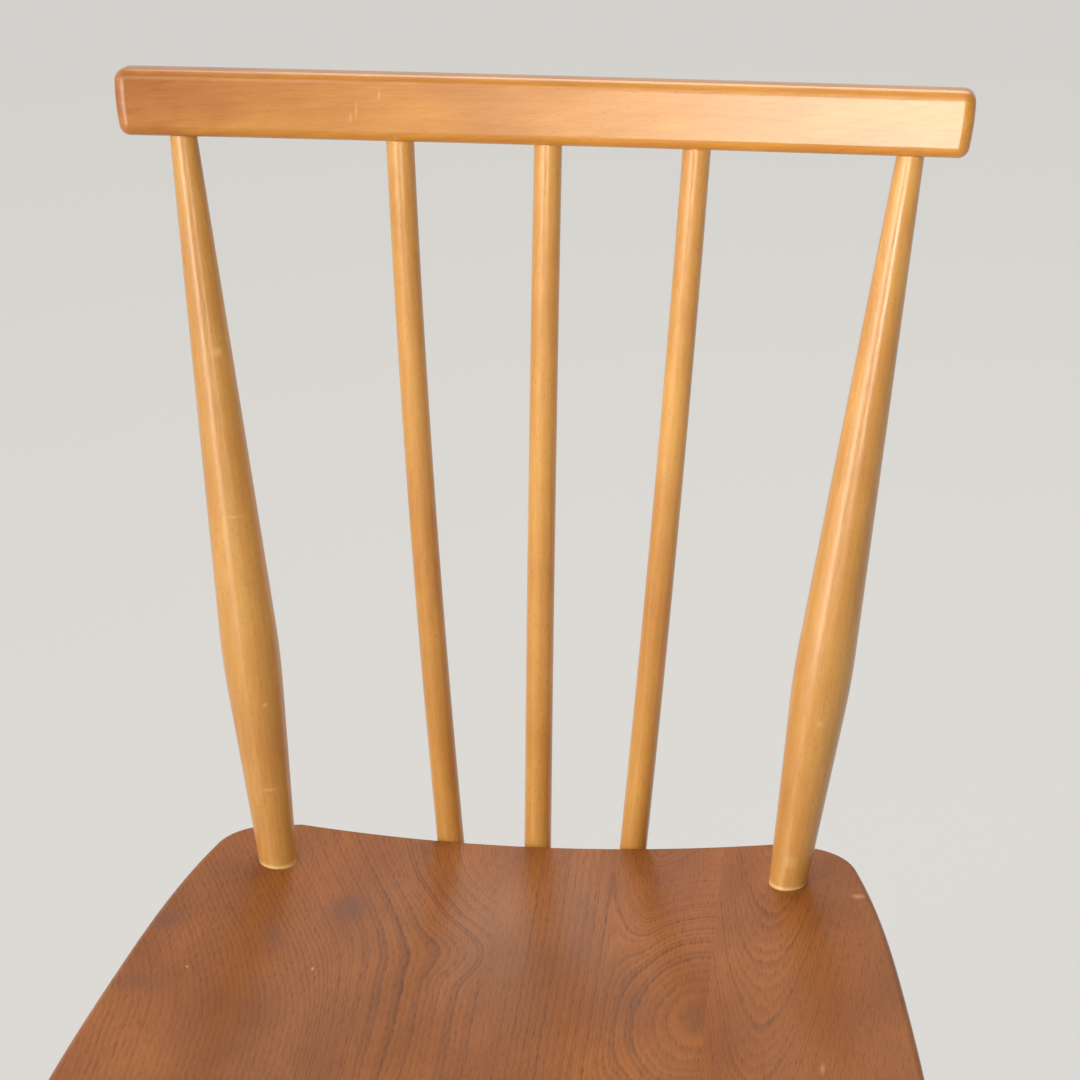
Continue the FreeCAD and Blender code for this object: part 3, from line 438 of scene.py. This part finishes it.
# %% Floor
FLOOR_HALF = 12.0           # metres
PALE_SHARE = 0.6            # how much of what the camera sees is the pale sheet
CORNERS = [(-1, -1, 0), (1, -1, 0), (1, 1, 0), (-1, 1, 0)]
floor_mesh = bpy.data.meshes.new("floor")
floor_mesh.from_pydata((FLOOR_HALF * np.array(CORNERS)).tolist(), [], [(0, 1, 2, 3)])
floor = bpy.data.objects.new("floor", floor_mesh)
bpy.context.scene.collection.objects.link(floor)
paint, paint_tree, _ = new_material("pale_floor_paint")
matt = add(paint_tree, "ShaderNodeBsdfPrincipled", {"Base Color": linear("#B4B1AC"), "Roughness": 0.85})
pale = add(paint_tree, "ShaderNodeEmission", {"Color": linear("#F2F0EC")})
path = add(paint_tree, "ShaderNodeLightPath", {}).node.outputs
direct = add(paint_tree, MATH, (path["Is Camera Ray"], path["Is Glossy Ray"]), operation="MAXIMUM")
lift = add(paint_tree, MATH, (direct, PALE_SHARE), operation="MULTIPLY")
sheet = add(paint_tree, "ShaderNodeMixShader", {0: lift, 1: matt, 2: pale})
underneath = add(paint_tree, "ShaderNodeNewGeometry", {}, out="Backfacing")
clear = add(paint_tree, "ShaderNodeBsdfTransparent", {})
add(paint_tree, "ShaderNodeOutputMaterial", {
    "Surface": add(paint_tree, "ShaderNodeMixShader", {0: underneath, 1: sheet, 2: clear})})
floor_mesh.materials.append(paint)
print("floor:", 2 * FLOOR_HALF, "m square")

# %% [markdown]
# Soft studio light: a large window and a smaller pane to the left front, which give each stick its
# two highlights, a fill from the front, a ceiling, and a rear lamp, which lays a sheen on the seat.
# One small lamp puts the glare on the crest rail's right end. A lamp's spread is how wide its beam
# opens. A narrow beam is many times stronger in its middle, so such a lamp has little power.

# %% Lamps
def softbox(name, place, target, width, height, power, spread=180.0):
    """A rectangular lamp that faces a point and isn't seen itself. Metres, watts and degrees."""
    lamp = bpy.data.lights.new(name, "AREA")
    lamp.shape = "RECTANGLE"
    lamp.size = width
    lamp.size_y = height
    lamp.energy = power
    lamp.spread = math.radians(spread)
    lamp.color = linear("#FFFBF5")[:3]
    carrier = bpy.data.objects.new(name, lamp)
    carrier.location = place
    carrier.rotation_euler = (Vector(target) - Vector(place)).to_track_quat("-Z", "Y").to_euler()
    carrier.visible_camera = False
    bpy.context.scene.collection.objects.link(carrier)


softbox("window", (-2.1, -1.5, 1.35), (0, 0, 0.6), 2.4, 2.0, 18.0)
softbox("fill", (0.1, -2.4, 2.6), (0, 0, 0.6), 1.8, 1.2, 24.0)
softbox("pane", (-0.95, -1.15, 1.0), (0, 0.15, 0.72), 0.50, 0.6, 1.9, spread=80.0)
softbox("glare", (0.10, -0.9, 0.92), (0.14, 0.19, 0.765), 0.14, 0.16, 0.24, spread=40.0)
softbox("ceiling", (-0.1, 0.6, 2.8), (0, 0, 0.4), 2.2, 2.2, 4.0)
softbox("rear", (0.25, 1.3, 2.0), (0, 0.1, 0.42), 1.4, 1.0, 20.0)
print("lamps:", len(bpy.data.lights))

# %% [markdown]
# The room round the lamps is dim and plain, a little darker to the right, which keeps the right
# edge of each stick deep in colour, and it glows to the left, where the window is. The camera alone
# sees it pale and even, which gives the background.

# %% The room
ROOM, BACK, RIGHT = 0.34, 0.06, -0.12   # strength on the whole, and what it gains towards +Y and +X
GLOW, GLOW_POWER = 0.9, 1.5             # the glow = 0.9 x (how far to the left) to the power 1.5
world = bpy.data.worlds.new("studio")
bpy.context.scene.world = world
world.use_nodes = True
sky = world.node_tree
sky.nodes.clear()
looking = add(sky, "ShaderNodeTexCoord", {}, out="Generated")
towards = add(sky, "ShaderNodeSeparateXYZ", {"Vector": looking}).node.outputs
even = add(sky, MATH, (towards["Y"], BACK, ROOM), operation="MULTIPLY_ADD")
shade = add(sky, MATH, (towards["X"], RIGHT, even), operation="MULTIPLY_ADD")
leftness = add(sky, MATH, (add(sky, MATH, (towards["X"], -1.0), operation="MULTIPLY"), 0.0),
               operation="MAXIMUM")
window_side = add(sky, MATH, (leftness, GLOW_POWER), operation="POWER")
glow = add(sky, MATH, (window_side, GLOW, shade), operation="MULTIPLY_ADD")
seen = add(sky, "ShaderNodeLightPath", {}, out="Is Camera Ray")
strength = add(sky, MIX, {0: seen, 2: glow, 3: 1.0})
backdrop = add(sky, "ShaderNodeBackground", {"Color": linear("#F2F1EF"), "Strength": strength})
add(sky, "ShaderNodeOutputWorld", {"Surface": backdrop})
print("the room's strength: right", round(ROOM + RIGHT, 2), "left", round(ROOM - RIGHT + GLOW, 2))

# %% [markdown]
# The camera stands as in the photograph: a little to the right of the chair, two steps away,
# looking down on the back. Its place and its turn were worked out from the photograph's
# perspective. The frame is square, and 36 mm of sensor cover 1080 pixels.

# %% Camera
PICTURE = 1080              # pixels
FOCAL_PIXELS = 4400         # the focal length, in the same pixels
STAND = Vector((0.17332, -1.64674, 1.46310))    # metres
DOWN, LEFT, TILT = (math.radians(angle) for angle in (26.17, 5.46, -0.37))
camera = bpy.data.objects.new("camera", bpy.data.cameras.new("camera"))
bpy.context.scene.collection.objects.link(camera)
camera.data.sensor_width = 36.0
camera.data.lens = camera.data.sensor_width * FOCAL_PIXELS / PICTURE
ahead = Vector((-math.sin(LEFT) * math.cos(DOWN), math.cos(LEFT) * math.cos(DOWN), -math.sin(DOWN)))
level = Vector((math.cos(LEFT), math.sin(LEFT), 0))
above = level.cross(ahead)
right = level * math.cos(TILT) + above * math.sin(TILT)
up = above * math.cos(TILT) - level * math.sin(TILT)
turned = Matrix((right, up, -ahead)).transposed().to_4x4()
camera.matrix_world = Matrix.Translation(STAND) @ turned
bpy.context.scene.camera = camera
bpy.context.scene.view_settings.view_transform = "Standard"
print("lens:", round(camera.data.lens, 1), "mm")
